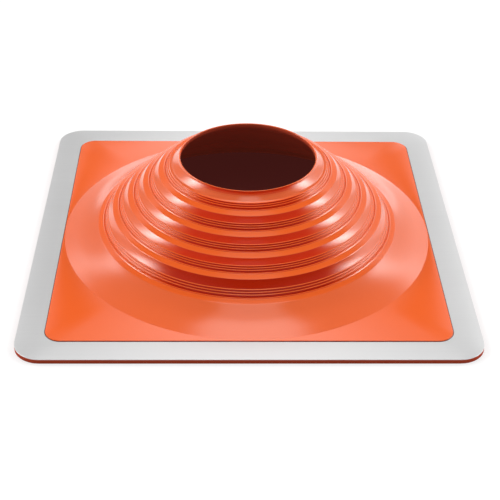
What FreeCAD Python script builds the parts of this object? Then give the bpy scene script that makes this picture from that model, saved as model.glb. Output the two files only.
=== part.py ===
import FreeCAD, Part
import math
import os

# Pipe flashing boot: a hollow stepped cone of silicone rubber on a square base,
# with a soft aluminium sheet frame moulded into the base's margin.
# Lengths are in millimetres. The origin is the centre of the underside, which
# lies on the roof, and +Z points up through the opening for the pipe.

# Opening and collar
opening_radius = 69.5
rim_thickness = 1.5
sealing_land = 4.0
collar_run = 13.65
collar_drop = 12.2

# Steps below the collar, each one a ledge and the wall under its lip
step_count = 5
ledge_run = 7.5
ledge_drop = 3.05
wall_run = 8.7
wall_drop = 10.6
lowest_wall_drop = 14.8
lip_bevel = 1.4

# Fine ribs round the foot of the collar and of every wall
rib_count = 3
rib_pitch = 2.2
lowest_rib_pitch = 2.6
rib_height = 0.5
rib_crest_place = 0.32

# Skirt that flares from the lowest lip to the flat field
skirt_steep_run = 14.0
skirt_steep_drop = 8.2
skirt_flat_run = 21.55
skirt_flat_drop = 7.1
skirt_bend_radius = 100.0
cone_thickness = 3.0

# Square base: rubber underlay, aluminium sheet, and the rubber field that stands above them
underlay_thickness = 4.5
sheet_thickness = 0.5
field_rise = 0.8
skirt_to_field_edge = 0.7
field_corner_radius = 16.0
sheet_show = 26.8
sheet_bite = 10.0
window_corner_radius = 6.0
slot_wall = 7.0
base_corner_radius = 26.0

# Sizes that follow from the ones above
field_height = underlay_thickness + sheet_thickness + field_rise
skirt_run = skirt_steep_run + skirt_flat_run
skirt_drop = skirt_steep_drop + skirt_flat_drop
wall_runs = [collar_run] + [wall_run] * (step_count - 1)
wall_drops = [collar_drop] + [wall_drop] * (step_count - 2) + [lowest_wall_drop]
rib_pitches = [rib_pitch] * (step_count - 1) + [lowest_rib_pitch]
rim_radius = opening_radius + rim_thickness
rim_height = field_height + sum(wall_drops) + step_count * ledge_drop + skirt_drop
skirt_radius = rim_radius + sum(wall_runs) + step_count * ledge_run + skirt_run
field_half = skirt_radius + skirt_to_field_edge
base_half = field_half + sheet_show
window_half = field_half - sheet_bite
hollow_radius = window_half - slot_wall


def place(radius, height):
    """A point of the cone's half section, which lies in the XZ plane."""
    return FreeCAD.Vector(radius, 0, height)


def unit(start, end):
    """The direction from one point of the section to another."""
    step = end - start
    return step * (1 / step.Length)


def outward(direction):
    """The normal on the open side of a line that runs down and away from the axis."""
    return place(-direction.z, direction.x)


def cone_corners():
    """The outside of the cone without its fine detail, from the rim to the skirt's foot."""
    corners = [place(rim_radius, rim_height)]
    for run, drop in zip(wall_runs, wall_drops):
        foot = corners[-1] + place(run, -drop)
        corners += [foot, foot + place(ledge_run, -ledge_drop)]
    corners.append(corners[-1] + place(skirt_steep_run, -skirt_steep_drop))
    corners.append(corners[-1] + place(skirt_flat_run, -skirt_flat_drop))
    return corners


def ribs(top, foot, pitch):
    """The ribs at the lower end of one wall: each stands out steeply and falls back slowly."""
    down = unit(top, foot)
    out = outward(down)
    points = []
    for number in range(rib_count, 0, -1):
        valley = foot - down * (number * pitch)
        crest = valley + down * (rib_crest_place * pitch) + out * rib_height
        points += [valley, crest]
    return points + [foot]


def bevelled_lip(foot, lip, below):
    """The narrow bevel that takes the sharp edge off one lip."""
    return [lip + unit(lip, foot) * (lip_bevel / 2), lip + unit(lip, below) * (lip_bevel / 2)]


def skirt_edges(start, bend, foot):
    """The skirt: a steep line, the arc that flares it, and a flatter line down to the field."""
    up = unit(bend, start)
    down = unit(bend, foot)
    half_angle = up.getAngle(down) / 2
    tangent = skirt_bend_radius / math.tan(half_angle)
    middle_way = (up + down) * (1 / (up + down).Length)
    arc_start = bend + up * tangent
    arc_middle = bend + middle_way * (skirt_bend_radius / math.sin(half_angle) - skirt_bend_radius)
    arc_end = bend + down * tangent
    arc = Part.Arc(arc_start, arc_middle, arc_end)
    return lines([start, arc_start]) + [arc.toShape()] + lines([arc_end, foot])


def inside_points(corners):
    """The hollow side, one thickness in, from the opening's land down to the underside."""
    normals = [outward(unit(*pair)) for pair in zip(corners, corners[1:])]
    inner = [place(opening_radius, rim_height - sealing_land)]
    for corner, above, below in zip(corners[1:], normals, normals[1:]):
        inner.append(corner - (above + below) * (cone_thickness / (1 + above.dot(below))))
    inner.append(corners[-1] - normals[-1] * cone_thickness)

    points = [place(opening_radius, rim_height), inner[0]]
    for start, end in zip(inner, inner[1:]):
        if end.x > hollow_radius:
            share = (hollow_radius - start.x) / (end.x - start.x)
            points.append(start + (end - start) * share)
            break
        points.append(end)
    return points + [place(hollow_radius, 0)]


def lines(points):
    """Straight edges from each point to the next."""
    return [Part.LineSegment(*pair).toShape() for pair in zip(points, points[1:])]


def make_cone():
    """The hollow cone, turned from its half section, with its foot down to the underside."""
    corners = cone_corners()
    outside = [corners[0]]
    for step in range(step_count):
        top, foot, lip, below = corners[2 * step:2 * step + 4]
        outside += ribs(top, foot, rib_pitches[step]) + bevelled_lip(foot, lip, below)
    skirt = skirt_edges(outside[-1], corners[-2], corners[-1])
    rest = [corners[-1], place(skirt_radius, 0)] + inside_points(corners)[::-1] + [corners[0]]
    half_section = Part.Face(Part.Wire(lines(outside) + skirt + lines(rest)))
    return half_section.revolve(place(0, 0), place(0, 1), 360)


def rounded_plate(half, corner_radius, bottom, thickness):
    """A square plate with round corners, centred on the axis."""
    plate = Part.makeBox(2 * half, 2 * half, thickness, FreeCAD.Vector(-half, -half, bottom))
    upright = [edge for edge in plate.Edges if abs(edge.tangentAt(0).z) > 0.5]
    return plate.makeFillet(corner_radius, upright)


def make_frame():
    """The aluminium sheet with its square window, the inner margin of which the rubber holds."""
    sheet = rounded_plate(base_half, base_corner_radius, underlay_thickness, sheet_thickness)
    window = rounded_plate(window_half, window_corner_radius, underlay_thickness, sheet_thickness)
    return sheet.cut(window)


def make_boot(frame):
    """The rubber moulding: cone, field and underlay in one, with the slot for the sheet."""
    underlay = rounded_plate(base_half, base_corner_radius, 0, underlay_thickness)
    field = rounded_plate(field_half, field_corner_radius, 0, field_height)
    hollow = Part.makeCylinder(hollow_radius, field_height)
    boot = underlay.fuse(field).cut(hollow).fuse(make_cone()).cut(frame)
    return boot.removeSplitter()


def main():
    os.makedirs("parts", exist_ok=True)
    frame = make_frame()
    boot = make_boot(frame)
    for name, shape in (("aluminium_frame", frame), ("rubber_boot", boot)):
        print(name, "solids", len(shape.Solids), "valid", shape.isValid(),
              "volume in cm3", round(shape.Volume / 1000, 2))
        shape.exportStep("parts/" + name + ".step")


main()
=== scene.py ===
# %% [markdown]
# # A pipe flashing boot, dressed in Blender
#
# The object is a roof flashing for a pipe: one moulding of red-orange silicone
# rubber, a stepped and ribbed cone on a thin square base, with a sheet of soft
# aluminium trapped round its margin. The measured model arrives as a frame of
# plain CAD solids. This lesson gives both pieces a finer mesh, a finish and a
# studio to stand in.

# %% Load the measured frame
import math

import bmesh
import bpy
from mathutils import Matrix, Vector


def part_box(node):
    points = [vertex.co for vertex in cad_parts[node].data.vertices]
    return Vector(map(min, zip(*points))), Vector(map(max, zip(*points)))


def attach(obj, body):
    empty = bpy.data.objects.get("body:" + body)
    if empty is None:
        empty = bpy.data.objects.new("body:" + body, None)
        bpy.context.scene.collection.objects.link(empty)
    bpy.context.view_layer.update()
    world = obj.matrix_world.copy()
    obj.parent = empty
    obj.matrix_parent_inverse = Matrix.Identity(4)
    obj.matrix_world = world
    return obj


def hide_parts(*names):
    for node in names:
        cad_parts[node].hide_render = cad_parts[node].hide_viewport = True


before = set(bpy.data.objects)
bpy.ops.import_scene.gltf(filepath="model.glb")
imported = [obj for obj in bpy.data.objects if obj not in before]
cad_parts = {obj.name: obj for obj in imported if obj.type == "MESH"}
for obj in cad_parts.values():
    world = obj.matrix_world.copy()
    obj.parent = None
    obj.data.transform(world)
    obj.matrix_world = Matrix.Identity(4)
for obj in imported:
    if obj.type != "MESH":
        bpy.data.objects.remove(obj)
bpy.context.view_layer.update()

print("nodes", sorted(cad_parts))

# %% [markdown]
# ## The sizes of the boot
#
# Every length is in millimetres, as on a mould drawing, and is turned to metres
# only when a vertex is made. The outline of the sheet and the height come from
# the frame, so the finer mesh fits the solids that it stands for. A pair of
# numbers is one line of the section: how far it runs out, and how far it drops.

# %% Sizes in millimetres
MM = 0.001
low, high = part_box("aluminium_frame")
BASE_HALF = high.x / MM
UNDERLAY_TOP = low.z / MM
SHEET_TOP = high.z / MM
RIM_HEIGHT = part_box("rubber_boot")[1].z / MM

OPENING_RADIUS = 69.5
RIM_THICKNESS = 1.5
LAND_DEPTH = 4.0

COLLAR = (13.65, 12.2)
LEDGE = (7.5, 3.05)
WALL = (8.7, 10.6)
LOWEST_WALL = (8.7, 14.8)
STEPS = 5
SKIRT_STEEP = (14.0, 8.2)
SKIRT_FLAT = (21.55, 7.1)
SKIRT_BEND_RADIUS = 100.0
CONE_THICKNESS = 3.0

FIELD_RISE = 0.8
FIELD_MARGIN = 0.7
FIELD_CORNER = 16.0
SHEET_BITE = 10.0
WINDOW_CORNER = 6.0
SLOT_WALL = 7.0
BASE_CORNER = 26.0
SHEET_SHOW = 26.8
FIELD_TOP = SHEET_TOP + FIELD_RISE
print("base", round(2 * BASE_HALF, 2), "height", round(RIM_HEIGHT, 2))
print("sheet from", round(UNDERLAY_TOP, 2), "to", round(SHEET_TOP, 2))
print("field top", round(FIELD_TOP, 2))

# %% [markdown]
# ## A body made of rings
#
# The boot is round at the top and square at the bottom. A Screw modifier would
# turn the round part, but could not end in a square. So the whole skin is one
# list of rings round the pipe's axis, and each ring is either a circle or a
# square with round corners. All rings have their points at the same angles,
# so any two of them join with plain quads, and the last ring joins the first:
# the result is one closed moulding with its real wall thickness.
#
# The angles are even, with extra ones where the two square outlines turn their
# corners.

# %% Rings and the angles they share
ROUND_PARTS = 320
CORNER_PARTS = 9
CLOSEST_ANGLES = math.radians(0.35)


def square_reach(angle, half, corner):
    """How far a square with round corners reaches from its centre at an angle."""
    folded = abs((angle + math.pi / 4) % (math.pi / 2) - math.pi / 4)
    straight = half / math.cos(folded)
    if half * math.tan(folded) <= half - corner:
        return straight
    centre = half - corner
    along = centre * (math.cos(folded) + math.sin(folded))
    return along + math.sqrt(along * along - 2 * centre * centre + corner * corner)


def corner_angles(half, corner):
    """The angles at which the points of one rounded corner lie."""
    centre = half - corner
    turns = [math.pi / 2 * n / CORNER_PARTS for n in range(CORNER_PARTS + 1)]
    return [math.atan2(centre + corner * math.sin(t), centre + corner * math.cos(t)) for t in turns]


def shared_angles():
    """Even angles, with those of the corners put in where they are needed."""
    corners = corner_angles(BASE_HALF, BASE_CORNER)
    corners += corner_angles(BASE_HALF - SHEET_SHOW, FIELD_CORNER)
    extra = [quarter * math.pi / 2 + angle for quarter in range(4) for angle in corners]
    even = [math.tau * n / ROUND_PARTS for n in range(ROUND_PARTS)]
    kept = []
    for angle in sorted(extra) + even:
        if all(abs(math.remainder(angle - other, math.tau)) > CLOSEST_ANGLES for other in kept):
            kept.append(angle % math.tau)
    return sorted(kept)


ANGLES = shared_angles()
print("points in each ring", len(ANGLES))

# %% Ring makers
RUBBER, FLASH, INSIDE, EDGE = range(4)


def circle(radius, height, crisp=False, finish=RUBBER):
    """A round ring. A crisp ring is shaded as a hard edge."""
    return {"reach": lambda angle: radius, "height": height, "crisp": crisp, "finish": finish}


def square(half, corner, height, crisp=False, finish=RUBBER):
    """A square ring with round corners."""
    return {"reach": lambda angle: square_reach(angle, half, corner), "height": height,
            "crisp": crisp, "finish": finish}


def skin(name, rings):
    """One closed mesh through the rings. A ring's finish is that of the band after it."""
    mesh = bpy.data.meshes.new(name)
    work = bmesh.new()
    loops = []
    for ring in rings:
        height = ring["height"] * MM
        reaches = [ring["reach"](angle) * MM for angle in ANGLES]
        loops.append([work.verts.new((reach * math.cos(angle), reach * math.sin(angle), height))
                      for reach, angle in zip(reaches, ANGLES)])
    for ring, here, there in zip(rings, loops, loops[1:] + loops[:1]):
        for i in range(len(ANGLES)):
            face = work.faces.new((here[i - 1], there[i - 1], there[i], here[i]))
            face.material_index = ring["finish"]
            face.smooth = True
    for ring, loop in zip(rings, loops):
        if ring["crisp"]:
            for i in range(len(ANGLES)):
                work.edges.get((loop[i - 1], loop[i])).smooth = False
    work.to_mesh(mesh)
    work.free()
    mesh.update()
    piece = bpy.data.objects.new(name, mesh)
    bpy.context.scene.collection.objects.link(piece)
    print(name, "rings", len(rings), "triangles", 2 * len(mesh.polygons))
    return piece


# %% [markdown]
# ## The section of the cone
#
# The section is worked out in two passes. The first gives the corners: the rim,
# then a foot and a lip for each step, then the bend and the foot of the skirt.
# The second walks down those corners and puts in what the mould has there:
# rounded lips, three fine ribs above each foot, the small groove where the wall
# meets its ledge, and the bead beside it. These catch the light as thin lines,
# so they have to be real shapes: a bump map would not cast the dark lines.

# %% Corners of the section
def corners_of_cone():
    """The outer corners, from the rim down to the skirt's foot."""
    walls = [COLLAR] + [WALL] * (STEPS - 2) + [LOWEST_WALL]
    corners = [Vector((OPENING_RADIUS + RIM_THICKNESS, RIM_HEIGHT))]
    for wall in walls:
        for run, drop in (wall, LEDGE):
            corners.append(corners[-1] + Vector((run, -drop)))
    for run, drop in (SKIRT_STEEP, SKIRT_FLAT):
        corners.append(corners[-1] + Vector((run, -drop)))
    print("skirt foot at radius", round(corners[-1].x, 2), "height", round(corners[-1].y, 2))
    return corners


CORNERS = corners_of_cone()
SKIRT_RADIUS = CORNERS[-1].x
FIELD_HALF = SKIRT_RADIUS + FIELD_MARGIN
WINDOW_HALF = FIELD_HALF - SHEET_BITE
HOLLOW_RADIUS = WINDOW_HALF - SLOT_WALL


def out_of(direction):
    """The side of the section that faces the open air, for a line that runs down and out."""
    return Vector((-direction.y, direction.x))


def rounded(before, corner, after, radius, parts):
    """The points of an arc that takes a corner's place."""
    back, ahead = (before - corner).normalized(), (after - corner).normalized()
    half_angle = back.angle(ahead) / 2
    centre = corner + (back + ahead).normalized() * (radius / math.sin(half_angle))
    start, end = (corner + way * (radius / math.tan(half_angle)) - centre for way in (back, ahead))
    turn = start.angle_signed(end)
    points = []
    for n in range(parts + 1):
        a = -turn * n / parts
        across, up = (math.cos(a), -math.sin(a)), (math.sin(a), math.cos(a))
        points.append(centre + Vector((start.dot(Vector(across)), start.dot(Vector(up)))))
    return points


# %% Ribs, groove and bead
RIB_COUNT = 3
RIB_PITCH = 2.2
LOWEST_RIB_PITCH = 2.6
RIB_HEIGHT = 0.5
RIB_CREST = 0.32
RIB_PLACES = (0.0, 0.1, 0.22, 0.32, 0.45, 0.65, 0.85)
GROOVE = ((0.0, 0.0), (0.1, -0.35), (0.4, -0.55), (0.65, -0.3))
BEAD = ((0.8, 0.05), (1.0, 0.25), (1.25, 0.36), (1.5, 0.36), (1.8, 0.22), (2.1, 0.06), (2.4, 0.0))


def rib_swell(place):
    """The height of a rib, from 0 to 1: it stands out fast and falls back slowly."""
    share = place / RIB_CREST if place < RIB_CREST else (1 - place) / (1 - RIB_CREST)
    return math.sin(math.pi / 2 * share) ** 2


def ribbed_foot(top, foot, pitch):
    """The ribs above the foot of a wall."""
    down = (foot - top).normalized()
    points = []
    for number in range(RIB_COUNT, 0, -1):
        for place in RIB_PLACES:
            spot = foot - down * (pitch * (number - place))
            points.append(spot + out_of(down) * (RIB_HEIGHT * rib_swell(place)))
    return points


def ledge_start(foot, lip):
    """The groove at the inner end of a ledge and the bead beside it."""
    along = (lip - foot).normalized()
    return [foot + along * distance + out_of(along) * rise for distance, rise in GROOVE + BEAD]


# %% [markdown]
# ## The collar and the rim
#
# The collar flares a little, as a boot does where the moulding leaves its tip:
# the section sags about a millimetre below the straight line from rim to foot.
# The rim itself is a thin edge with a full round.

# %% Collar, rim and steps
COLLAR_SAG = 0.9
COLLAR_PARTS = 10
LIP_RADIUS = 1.3
LIP_PARTS = 5
RIM_PARTS = 8


def collar_line(top, foot, end):
    """The flared part of the collar, down to where its ribs begin."""
    span = foot - top
    points = []
    for n in range(1, COLLAR_PARTS):
        share = n / COLLAR_PARTS
        spot = top + span * share
        if (spot - top).length < (end - top).length:
            points.append(spot - out_of(span.normalized()) * (4 * COLLAR_SAG * share * (1 - share)))
    return points


def rim_round():
    """The full round of the rim, from the land inside to the collar outside."""
    radius = RIM_THICKNESS / 2
    centre = Vector((OPENING_RADIUS + radius, RIM_HEIGHT - radius))
    turns = [math.pi * (1 - n / RIM_PARTS) for n in range(RIM_PARTS + 1)]
    return [centre + Vector((math.cos(t), math.sin(t))) * radius for t in turns]


def outer_section():
    """Every point of the outside, from the rim to the last lip's lower side."""
    points = []
    for step in range(STEPS):
        top, foot, lip, below = CORNERS[2 * step:2 * step + 4]
        pitch = LOWEST_RIB_PITCH if step == STEPS - 1 else RIB_PITCH
        ribs = ribbed_foot(top, foot, pitch)
        if step == 0:
            points += collar_line(rim_round()[-1], foot, ribs[0])
        points += ribs + ledge_start(foot, lip) + rounded(foot, lip, below, LIP_RADIUS, LIP_PARTS)
    return points


OUTER = outer_section()
print("points of the stepped outside", len(OUTER))

# %% Skirt
SKIRT_PARTS = 12
skirt_arc = rounded(CORNERS[-3], CORNERS[-2], CORNERS[-1], SKIRT_BEND_RADIUS, SKIRT_PARTS)
SKIRT = [OUTER[-1].lerp(skirt_arc[0], 0.5)] + skirt_arc + [skirt_arc[-1].lerp(CORNERS[-1], 0.5)]
slopes = [math.degrees(math.atan2(drop, run)) for run, drop in (SKIRT_STEEP, SKIRT_FLAT)]
print("skirt slope in degrees", [round(slope, 1) for slope in slopes])

# %% [markdown]
# ## The hollow side
#
# Inside, the moulding follows its own outside one wall thickness in, without
# the ribs. Through the opening the far steps of it show faintly. Its lowest
# corner, where the skirt meets the base, can't be seen from above and is cut
# straight across.

# %% Inner section
INNER_RADIUS = 1.5
INNER_PARTS = 2


def inner_section():
    """The hollow side, from the underside up to the land inside the rim."""
    directions = [(b - a).normalized() for a, b in zip(CORNERS, CORNERS[1:])]
    normals = [out_of(d) for d in directions]
    land_foot = Vector((OPENING_RADIUS, RIM_HEIGHT - LAND_DEPTH))
    line = [land_foot]
    for corner, above, below in zip(CORNERS[1:], normals, normals[1:]):
        line.append(corner - (above + below) * (CONE_THICKNESS / (1 + above.dot(below))))
    last = CORNERS[-1] - normals[-1] * CONE_THICKNESS
    share = (HOLLOW_RADIUS - line[-1].x) / (last.x - line[-1].x)
    line.append(line[-1].lerp(last, share))
    line.append(Vector((HOLLOW_RADIUS, 0.0)))
    points = [land_foot]
    for before, corner, after in zip(line, line[1:], line[2:]):
        points += rounded(before, corner, after, INNER_RADIUS, INNER_PARTS)
    return points[::-1]


INNER = inner_section()
print("points of the hollow side", len(INNER))

# %% [markdown]
# ## From round to square
#
# Below the skirt the rings turn square. The field stands a little above the
# metal, and the mould leaves a thin flash of rubber where it shuts on the
# sheet, which is painted dark as the shade of that joint and reads as a fine
# dark line. Under the edge the rubber goes round the sheet's inner margin,
# which makes the slot that holds it. Each band carries its own finish: satin
# outside, painted shade on the flash, matt with painted shade on the thin edge
# of the base and inside.

# %% Rings of the boot
FIELD_EDGE_ROUND = 0.3
FLASH_WIDTH = 0.75
FLASH_HEIGHT = 0.07
BASE_TOP_ROUND = 0.08
BASE_FOOT_ROUND = 0.4


def edge_round(half, corner, height, radius, parts=4, down=True, finish=RUBBER):
    """Rings that round a square outline's upper edge, or its lower edge if not down."""
    rings = []
    for n in range(parts + 1):
        turn = math.pi / 2 * n / parts
        if down:
            inset = radius * (1 - math.sin(turn))
            level = height - radius * (1 - math.cos(turn))
        else:
            inset = radius * (1 - math.cos(turn))
            level = height + radius * (1 - math.sin(turn))
        rings.append(square(half - inset, corner - inset, level, finish=finish))
    return rings


def boot_rings():
    """The whole skin of the moulding, in one closed round trip."""
    rings = [circle(p.x, p.y) for p in rim_round() + OUTER + SKIRT]
    rings += [circle(SKIRT_RADIUS, FIELD_TOP, crisp=True)]
    rings += edge_round(FIELD_HALF, FIELD_CORNER, FIELD_TOP, FIELD_EDGE_ROUND)
    rings += [square(FIELD_HALF, FIELD_CORNER, SHEET_TOP + FLASH_HEIGHT, crisp=True, finish=FLASH)]
    flash_half, flash_corner = FIELD_HALF + FLASH_WIDTH, FIELD_CORNER + FLASH_WIDTH
    rings += [square(flash_half, flash_corner, SHEET_TOP + FLASH_HEIGHT, crisp=True, finish=FLASH)]
    rings += [square(flash_half, flash_corner, SHEET_TOP, crisp=True)]
    rings += [square(WINDOW_HALF, WINDOW_CORNER, SHEET_TOP, crisp=True)]
    rings += [square(WINDOW_HALF, WINDOW_CORNER, UNDERLAY_TOP, crisp=True)]
    rings += edge_round(BASE_HALF, BASE_CORNER, UNDERLAY_TOP, BASE_TOP_ROUND, parts=2, finish=EDGE)
    rings += edge_round(BASE_HALF, BASE_CORNER, 0.0, BASE_FOOT_ROUND, down=False, finish=EDGE)
    rings += [circle(HOLLOW_RADIUS, 0.0, crisp=True, finish=INSIDE)]
    lowest_corner = INNER_PARTS + 1
    rings += [circle(p.x, p.y, finish=INSIDE) for p in INNER[lowest_corner:]]
    return rings


boot = skin("rubber_boot_moulding", boot_rings())
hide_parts("rubber_boot")
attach(boot, "root")

# %% [markdown]
# ## The aluminium sheet
#
# The sheet is half a millimetre thick, so its edge is barely a line, but that
# line is bright. Its upper edges are broken by a fifth of a millimetre, as a
# sheared and rolled blank is. Its inner margin hides in the rubber, a hair away
# from the end of the slot.

# %% Rings of the sheet
SHEET_EDGE_ROUND = 0.22
SHEET_INSET = 0.02


def sheet_rings():
    """The closed skin of the sheet: top, outer edge, underside and window."""
    window_half = WINDOW_HALF + SHEET_INSET
    rings = [square(window_half, WINDOW_CORNER, SHEET_TOP, crisp=True)]
    rings += edge_round(BASE_HALF, BASE_CORNER, SHEET_TOP, SHEET_EDGE_ROUND)
    rings += [square(BASE_HALF, BASE_CORNER, UNDERLAY_TOP, crisp=True)]
    rings += [square(window_half, WINDOW_CORNER, UNDERLAY_TOP, crisp=True)]
    return rings


sheet = skin("aluminium_margin_sheet", sheet_rings())
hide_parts("aluminium_frame")
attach(sheet, "root")

# %% [markdown]
# ## Shader maths in plain Python
#
# A wire is one output of a shader node. It can be added, subtracted, multiplied
# and divided like a number, from either side, and each sum becomes a Math node.
# The recipe owns the node tree and has one method that makes any other node.
# Its further methods are short names for the nodes that come back most.

# %% Wires and recipes
class Wire:
    """An output socket that can be used in arithmetic."""

    def __init__(self, recipe, socket):
        self.recipe = recipe
        self.socket = socket

    def math(self, operation, *values):
        """A Math node with this wire as its first value."""
        sockets = dict(enumerate((self,) + values))
        return self.recipe.node("ShaderNodeMath", {"operation": operation}, sockets)

    def swapped(self, operation, first):
        """A Math node with this wire as its second value, for sums such as 1 - mask."""
        return self.recipe.node("ShaderNodeMath", {"operation": operation}, {0: first, 1: self})

    def __add__(self, other):
        return self.math("ADD", other)

    def __radd__(self, other):
        return self.math("ADD", other)

    def __sub__(self, other):
        return self.math("SUBTRACT", other)

    def __rsub__(self, other):
        return self.swapped("SUBTRACT", other)

    def __mul__(self, other):
        return self.math("MULTIPLY", other)

    def __rmul__(self, other):
        return self.math("MULTIPLY", other)

    def __truediv__(self, other):
        return self.math("DIVIDE", other)

    def __rtruediv__(self, other):
        return self.swapped("DIVIDE", other)


class Recipe:
    """A node tree that is written as a recipe."""

    def __init__(self, tree):
        self.tree = tree
        tree.nodes.clear()

    def node(self, kind, settings=None, sockets=None, output=0):
        """Adds a node: its settings first, then the values or links of its sockets."""
        made = self.tree.nodes.new(kind)
        for name, value in (settings or {}).items():
            setattr(made, name, value)
        for name, value in (sockets or {}).items():
            if isinstance(value, Wire):
                self.tree.links.new(value.socket, made.inputs[name])
            else:
                made.inputs[name].default_value = value
        return Wire(self, made.outputs[output]) if len(made.outputs) else made

    def parts(self, wire):
        """The three parts of a vector."""
        first = self.node("ShaderNodeSeparateXYZ", sockets={0: wire})
        return [Wire(self, socket) for socket in first.socket.node.outputs]

    def mix(self, share, first, second):
        """A colour between two colours."""
        return self.node("ShaderNodeMix", {"data_type": "RGBA"},
                         {0: share, 6: first, 7: second}, output=2)

    def smooth(self, value, low, high):
        """0 below low, 1 above high, and a soft step between."""
        return self.node("ShaderNodeMapRange", {"interpolation_type": "SMOOTHSTEP"},
                         {0: value, 1: low, 2: high, 3: 0.0, 4: 1.0})

    def noise(self, place, scale, detail):
        """Soft random spots, with finer spots on them for more detail."""
        return self.node("ShaderNodeTexNoise",
                         sockets={"Vector": place, "Scale": scale, "Detail": detail})


def new_material(name):
    """A material and the recipe of its node tree."""
    material = bpy.data.materials.new(name)
    material.use_nodes = True
    return material, Recipe(material.node_tree)


print("shader helpers ready")

# %% [markdown]
# ## Where the rubber faces
#
# Two kinds of face on the cone look different in the photograph, and each has a
# mask. The steep walls that face the front see only the dim side of the studio
# and look deep red. The ledges between them are flat and look matt. A mask
# comes from the slope of the surface, from its turn round the pipe's axis, and
# from its distance to that axis.

# %% Masks of the cone
DEGREES = 180 / math.pi
WALL_SLOPES = 0.64, 0.72
LOWEST_WALL_SLOPES = 0.53, 0.61
FRONT_TURNS = 28.0, 50.0
ledge_slope = math.cos(math.atan2(LEDGE[1], LEDGE[0]))
LEDGE_SLOPES = ledge_slope - 0.06, ledge_slope - 0.02
last_lip = CORNERS[2 * STEPS].x
STEPS_END = (last_lip - 1.0) * MM, last_lip * MM
print("ledge slope", round(ledge_slope, 3), "steps end at radius", round(last_lip, 2))


def cone_masks(r, place):
    """Masks of the front walls that are painted with shade, of all but the lowest wall, and of the
    ledges.
    """
    x, y, _ = r.parts(place)
    slope = r.parts(r.node("ShaderNodeNewGeometry", output=3))[2]
    turn = x.math("ABSOLUTE").math("ARCTAN2", y * -1.0) * DEGREES
    front_wall_shade = (1 - r.smooth(slope, *WALL_SLOPES)) * (1 - r.smooth(turn, *FRONT_TURNS))
    level = r.node("ShaderNodeVectorMath", {"operation": "MULTIPLY"},
                   {0: place, 1: (1.0, 1.0, 0.0)})
    radius = r.node("ShaderNodeVectorMath", {"operation": "LENGTH"}, {0: level}, output=1)
    ledge = (1 - r.smooth(radius, *STEPS_END)) * r.smooth(slope, *LEDGE_SLOPES)
    return front_wall_shade, r.smooth(slope, *LOWEST_WALL_SLOPES), ledge


# %% [markdown]
# ## Silicone rubber
#
# Moulded silicone is a satin, dense plastic-like surface: a strong red-orange
# with a soft white shine. The colour drifts a little with the thickness of the
# moulding, the gloss is uneven where the hot mould was wiped, and a very fine
# pale grain breaks the reflections up.
#
# The shine is a coat over the colour. It mirrors a little more than silicone
# does, so that the lamps can stay modest. The masks stand in for what the
# photograph's light does: they paint shade on the front walls as a deeper red
# and take most of the coat off those walls and the ledges. Inside the cone a
# faint painted glow stands in for the light that comes through the rubber.

# %% Rubber finish
CLOUD, WIPE, GRAIN, PEEL = (9.0, 3.0), (34.0, 4.0), (2600.0, 2.0), (420.0, 1.0)
WALL_MATT, LEDGE_MATT = 0.9, 0.75
GRAIN_TONE = (0.9, 0.5, 0.35, 1.0)
# Painted glow: a faint orange emission, used only on the inside of the cone.
PAINTED_GLOW_TONE = (1.0, 0.16, 0.09, 1.0)


def silicone(name, tones, roughness, coat, glow=0.0):
    """A moulded rubber finish in two close tones, with two darker ones painted on the front walls
    as shade.
    """
    light, deep, wall, lowest_wall_shade = tones
    material, r = new_material(name)
    place = r.node("ShaderNodeTexCoord", output=3)
    front_wall_shade, above_lowest, ledge = cone_masks(r, place)
    cloud, wipe, grain, peel = (r.noise(place, *sizes) for sizes in (CLOUD, WIPE, GRAIN, PEEL))

    tone = r.mix(r.smooth(cloud * 0.7 + wipe * 0.3, 0.35, 0.65), deep, light)
    # Painted shade: the walls that face the front get a deeper, darker red, and the lowest wall the
    # darkest.
    tone = r.mix(front_wall_shade, tone, r.mix(above_lowest, lowest_wall_shade, wall))
    tone = r.mix(r.smooth(grain, 0.56, 0.72) * 0.04, tone, GRAIN_TONE)
    gloss = roughness + (wipe - 0.5) * 0.03 + (grain - 0.5) * 0.03
    shine = coat * (1 - front_wall_shade * WALL_MATT - ledge * LEDGE_MATT)
    bump = r.node("ShaderNodeBump", sockets={
        "Strength": 0.1, "Distance": 0.00006, "Height": grain * 0.55 + peel * 0.45})
    shader = r.node("ShaderNodeBsdfPrincipled", sockets={
        "Base Color": tone, "Roughness": gloss, "Normal": bump,
        "IOR": 1.4, "Specular IOR Level": 0.1,
        "Coat Weight": shine, "Coat Roughness": 0.16, "Coat IOR": 1.8,
        "Emission Color": PAINTED_GLOW_TONE, "Emission Strength": glow})
    r.node("ShaderNodeOutputMaterial", sockets={"Surface": shader})
    return material


# %% [markdown]
# ## Four finishes on one moulding
#
# The outside is satin, with painted shade on its front walls. The flash round
# the field is painted dark as shade. The inside and the thin edge of the base
# are matt and a deeper red, which is painted shade, and the inside has a faint
# painted glow. Their order is that of the finish numbers which the rings carry.

# %% Tones of the rubber
# The last two outside tones are painted shade for the front walls and the lowest front wall.
OUTSIDE_TONES_AND_SHADE = ((0.93, 0.127, 0.012, 1.0), (0.915, 0.121, 0.011, 1.0),
                 (0.72, 0.032, 0.003, 1.0), (0.56, 0.022, 0.003, 1.0))
# Painted shade: the flash is toned dark for the shade in the joint between field and sheet.
FLASH_SHADE_TONES = (0.16, 0.035, 0.015, 1.0), (0.11, 0.022, 0.010, 1.0)
INSIDE_SHADE_TONES = (0.60, 0.070, 0.030, 1.0), (0.52, 0.060, 0.026, 1.0)
EDGE_SHADE_TONES = (0.56, 0.074, 0.030, 1.0), (0.50, 0.066, 0.027, 1.0)


def plain(light, deep):
    """Tones for a finish that has no painted shade on the front walls."""
    return light, deep, deep, deep


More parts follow.
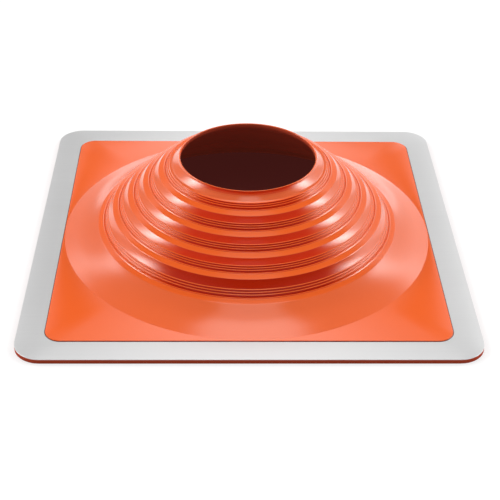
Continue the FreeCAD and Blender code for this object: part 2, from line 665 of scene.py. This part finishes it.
# The flash, the inside and the edge of the base carry darker tones as painted shade, and the inside
# a faint painted glow.
for finish in (silicone("satin_silicone_painted_front_shade", OUTSIDE_TONES_AND_SHADE, 0.2, 1.0),
               silicone("mould_flash_painted_shade", plain(*FLASH_SHADE_TONES), 0.7, 0.0),
               silicone("matt_silicone_inside_painted_shade_glow", plain(*INSIDE_SHADE_TONES), 0.6, 0.0, 0.04),
               silicone("matt_silicone_edge_painted_shade", plain(*EDGE_SHADE_TONES), 0.65, 0.0)):
    boot.data.materials.append(finish)
print("rubber finishes", [material.name for material in boot.data.materials])

# %% [markdown]
# ## Soft aluminium
#
# The sheet has a mill finish: rolled, matt and pale, with faint lines along the
# rolling direction and a slight haze. A rough metal spreads the lamps into a
# broad sheen, which is what the photograph shows. The lines are noise that is
# stretched along the sheet.

# %% Aluminium finish
LINE_STRETCH = (6.0, 900.0, 900.0)
HAZE, PITS = (14.0, 4.0), (1500.0, 2.0)
PALE_METAL, BRIGHT_METAL = (0.81, 0.81, 0.81, 1.0), (0.83, 0.83, 0.83, 1.0)
METAL_ROUGHNESS = 0.37


def mill_aluminium():
    """Rolled sheet with lines along X."""
    material, r = new_material("mill_aluminium")
    place = r.node("ShaderNodeTexCoord", output=3)
    along = r.node("ShaderNodeMapping", {"vector_type": "POINT"},
                   {"Vector": place, "Scale": LINE_STRETCH})
    lines = r.noise(along, 1.0, 3.0)
    haze, pits = r.noise(place, *HAZE), r.noise(place, *PITS)
    tone = r.mix(r.smooth(lines * 0.6 + haze * 0.4, 0.3, 0.7), PALE_METAL, BRIGHT_METAL)
    gloss = METAL_ROUGHNESS + (haze - 0.5) * 0.04 + (lines - 0.5) * 0.04
    bump = r.node("ShaderNodeBump", sockets={
        "Strength": 0.08, "Distance": 0.00004, "Height": lines * 0.7 + pits * 0.3})
    shader = r.node("ShaderNodeBsdfPrincipled", sockets={
        "Base Color": tone, "Roughness": gloss, "Normal": bump, "Metallic": 0.9})
    r.node("ShaderNodeOutputMaterial", sockets={"Surface": shader})
    return material


sheet.data.materials.append(mill_aluminium())
print("sheet finish", sheet.data.materials[0].name)

# %% [markdown]
# ## The floor
#
# The floor is a large pale sweep. Straight camera rays, and rays mirrored or
# let through by the object, also see a glow on it, so that it ends up white
# while the soft shadow round the object stays. Under the boot the floor is
# painted dark as shade, with a faint orange painted glow for the light that
# comes through the rubber, so the hollow looks as deep as it is.

# %% Floor
FLOOR_HALF = 40.0
FLOOR_DROP = 0.0002
# Painted shade and painted glow: the floor under the hollow is dark, with a faint orange glow.
PAINTED_HOLLOW_SHADE, SWEEP = (0.08, 0.02, 0.018, 1.0), (0.42, 0.42, 0.42, 1.0)
PAINTED_HOLLOW_GLOW, SWEEP_GLOW = (0.042, 0.0078, 0.0065, 1.0), (0.6, 0.6, 0.6, 1.0)
HOLLOW_SHADE_FADE = 4.0


def seen_rays(r):
    """Masks for what the camera sees straight, mirrored and through something."""
    names = "Is Camera Ray", "Is Glossy Ray", "Is Transmission Ray"
    return [r.node("ShaderNodeLightPath", output=name) for name in names]


def floor_material():
    """Painted shade and a faint painted glow under the boot, and a pale sweep that glows where it
    is seen.
    """
    material, r = new_material("pale_sweep")
    place = r.node("ShaderNodeTexCoord", output=3)
    reach = r.node("ShaderNodeVectorMath", {"operation": "LENGTH"}, {0: place}, output=1)
    open_floor = r.smooth(reach, HOLLOW_RADIUS * MM, (HOLLOW_RADIUS + HOLLOW_SHADE_FADE) * MM)
    straight, mirrored, through = seen_rays(r)
    shown = straight.math("MAXIMUM", mirrored).math("MAXIMUM", through)
    matt = r.node("ShaderNodeBsdfDiffuse", sockets={"Color": r.mix(open_floor, PAINTED_HOLLOW_SHADE, SWEEP)})
    glow = r.node("ShaderNodeEmission", sockets={
        "Color": r.mix(open_floor, PAINTED_HOLLOW_GLOW, SWEEP_GLOW), "Strength": shown})
    both = r.node("ShaderNodeAddShader", sockets={0: matt, 1: glow})
    r.node("ShaderNodeOutputMaterial", sockets={"Surface": both})
    return material


def make_floor():
    """One large square, just below the underside of the boot."""
    mesh = bpy.data.meshes.new("pale_floor")
    h = FLOOR_HALF
    mesh.from_pydata([(-h, -h, 0), (h, -h, 0), (h, h, 0), (-h, h, 0)], [], [(0, 1, 2, 3)])
    mesh.materials.append(floor_material())
    floor = bpy.data.objects.new("pale_floor", mesh)
    floor.location.z = -FLOOR_DROP
    bpy.context.scene.collection.objects.link(floor)
    return floor


make_floor()
print("floor side in m", 2 * FLOOR_HALF)

# %% [markdown]
# ## The panels overhead
#
# The light is painted on the world as soft panels, so that every step of the
# cone mirrors the same room. A lamp object would work too, but a direction in
# the world is easier to match with what each slope of the rubber mirrors.
#
# A strip hangs overhead and runs to the back, where it turns soft, and the
# ceiling beside it is dim. All of it is drawn on a ceiling of height 1: across
# is the distance to the middle of the strip, and along grows to the back. Each
# row gives the spans over which a panel rises and falls across and along, and
# its level.

# %% Panels overhead
STRIP_MIDDLE = 0.03
LOWEST_UP = 0.02
STRIP_WIDTH = None, (0.16, 0.24)
PANELS = (
    ("strip, front end", STRIP_WIDTH, ((-0.75, -0.6), (-0.3, -0.2)), 1.3),
    ("strip, before the axis", STRIP_WIDTH, ((-0.3, -0.2), (0.05, 0.15)), 1.05),
    ("strip, behind the axis", STRIP_WIDTH, ((0.05, 0.15), (0.45, 0.8)), 1.9),
    ("strip, soft part", (None, (0.0, 0.28)), ((0.45, 0.9), (1.4, 2.0)), 1.75),
    ("strip, far end", (None, (0.0, 0.45)), ((1.4, 2.0), None), 1.4),
    ("ceiling beside the strip", ((0.16, 0.3), (1.6, 2.2)), ((-1.2, -0.8), (0.9, 1.3)), 0.32),
)


def between(r, place, rise, fall):
    """A soft mask that rises over one span and falls over the other."""
    mask = r.smooth(place, *rise) if rise else 1.0
    return mask * (1 - r.smooth(place, *fall)) if fall else mask


def light_overhead(r, across, along):
    """The sum of the panels on the ceiling."""
    light = 0
    for _, span_across, span_along, level in PANELS:
        panel = between(r, across, *span_across) * between(r, along, *span_along)
        light = light + panel * level
    return light


print("panels overhead", [name for name, *_ in PANELS])

# %% [markdown]
# ## The banks beside the boot
#
# On each side stands a long bank, which the walls and the skirt mirror where
# they lean to that side. A bank is drawn by its lean, which is how far a
# direction points along the line between the side and the back. The edge of
# the bank that lies towards the front is a hotter lamp, and gives each wall its
# white highlight. The front is left dim.

# %% Banks
LEAN = (0.669, 0.743)
BESIDE = (0.4, 0.85)
BANK_RISE, BANK_DIMS, BANK_TOP = (0.55, 0.74), (0.85, 1.0), (34.0, 46.0)
LAMP_LEAN = (0.3, 0.62), (0.66, 0.88)
LAMP_HEIGHT = (16.0, 28.0), (29.0, 44.0)
BANK_LEVELS, LAMP_LEVELS = (0.65, 1.3), (7.6, 7.4)
LEFT_TO_RIGHT = -0.03, 0.03


def light_beside(r, x, y, elevation, across):
    """The bank and the lamp of the left side and of the right side."""
    lean = x.math("ABSOLUTE") * LEAN[0] + y * LEAN[1]
    dims = 1 - 0.5 * r.smooth(lean, *BANK_DIMS)
    bank = r.smooth(lean, *BANK_RISE) * dims * (1 - r.smooth(elevation, *BANK_TOP))
    lamp = between(r, lean, *LAMP_LEAN) * between(r, elevation, *LAMP_HEIGHT)
    on_right = r.smooth(x, *LEFT_TO_RIGHT)
    light = 0
    for mask, (left, right) in ((bank, BANK_LEVELS), (lamp, LAMP_LEVELS)):
        light = light + mask * (on_right * (right - left) + left)
    return light * r.smooth(across, *BESIDE)


print("lean of the banks in degrees", round(math.degrees(math.atan2(LEAN[1], LEAN[0])), 1))

# %% [markdown]
# ## Fills and the finished world
#
# Four wide fills from the corners of the room add plain light that no gloss
# mirrors. A straight look meets a white backdrop, with a strength of 1. Mirrored
# rays see that white only in a low band, because a white ceiling would wash out
# the rubber.

# %% World
FILLS = (
    ("left front", -1, -1, 0.95),
    ("left back", -1, 1, 1.15),
    ("right front", 1, -1, 0.35),
    ("right back", 1, 1, 0.95),
)
FILL_ASIDE, FILL_AWAY = (0.1, 0.6), (-0.1, 0.25)
FILL_HEIGHT = (0.0, 0.3), (0.6, 0.95)
HORIZON = -0.02, 0.03
WHITE = (1.0, 1.0, 1.0, 1.0)
MIRRORED_BAND, MIRRORED_LEVEL = (1.0, 5.0), 0.8


def fill_light(r, x, y, z):
    """Wide light from the four corners of the room."""
    light = 0
    for _, way_x, way_y, level in FILLS:
        corner = r.smooth(x * way_x, *FILL_ASIDE) * r.smooth(y * way_y, *FILL_AWAY)
        light = light + corner * level
    return light * between(r, z, *FILL_HEIGHT)


def studio():
    """The world, with all panels, the fills and the white backdrop."""
    world = bpy.data.worlds.new("soft_studio")
    world.use_nodes = True
    r = Recipe(world.node_tree)
    x, y, z = r.parts(r.node("ShaderNodeTexCoord", output=0))
    elevation = z.math("ARCSINE") * DEGREES
    up = z.math("MAXIMUM", LOWEST_UP)
    across, along = (x / up - STRIP_MIDDLE).math("ABSOLUTE"), y / up
    panels = light_overhead(r, across, along) + light_beside(r, x, y, elevation, across)
    straight, mirrored, through = seen_rays(r)
    light = panels * r.smooth(z, *HORIZON) + fill_light(r, x, y, z) * (1 - mirrored)
    band = mirrored.math("MAXIMUM", through) * (1 - r.smooth(elevation, *MIRRORED_BAND))
    backdrop = straight.math("MAXIMUM", band * MIRRORED_LEVEL)
    back = r.node("ShaderNodeBackground", sockets={"Color": WHITE, "Strength": light + backdrop})
    r.node("ShaderNodeOutputWorld", sockets={"Surface": back})
    return world


scene = bpy.context.scene
scene.world = studio()
scene.view_settings.view_transform = "Standard"
print("fills", [name for name, *_ in FILLS])
print("world nodes", len(scene.world.node_tree.nodes))

# %% [markdown]
# ## The camera
#
# The camera was solved from the square base and the round steps: its tilt,
# turn and roll, its distance, and a lens that shows the perspective of the
# photograph. Its aim says where the middle of the sheet's top lies before the
# lens, in sides of the base: to the right, down and ahead.

# %% Camera
PHOTO_PIXELS = 500
LENS_PIXELS = 1213.848
SENSOR_MM = 36.0
PITCH, YAW, ROLL = (math.radians(v) for v in (33.881, -1.656, -1.037))
BASE_SIDE = 2 * BASE_HALF * MM
AIM = Vector((-0.00782, -0.05035, 2.9469)) * BASE_SIDE


def spin(angle):
    """A turn about the third axis."""
    cos, sin = math.cos(angle), math.sin(angle)
    return Matrix(((cos, sin, 0), (-sin, cos, 0), (0, 0, 1)))


def photo_camera():
    """The camera, placed by its view of the middle of the sheet's top."""
    down, level = -math.sin(PITCH), math.cos(PITCH)
    tilt = Matrix(((1, 0, 0), (0, down, -level), (0, level, down)))
    view = spin(ROLL) @ tilt @ spin(YAW)
    data = bpy.data.cameras.new("photo_camera")
    data.sensor_width = SENSOR_MM
    data.lens = SENSOR_MM * LENS_PIXELS / PHOTO_PIXELS
    camera = bpy.data.objects.new("photo_camera", data)
    facing = Matrix((view[0], -view[1], -view[2])).transposed().to_4x4()
    spot = -(view.transposed() @ AIM) + Vector((0, 0, SHEET_TOP * MM))
    camera.matrix_world = Matrix.Translation(spot) @ facing
    scene.collection.objects.link(camera)
    print("camera at", [round(v, 3) for v in spot], "lens", round(data.lens, 2))
    return camera


scene.camera = photo_camera()
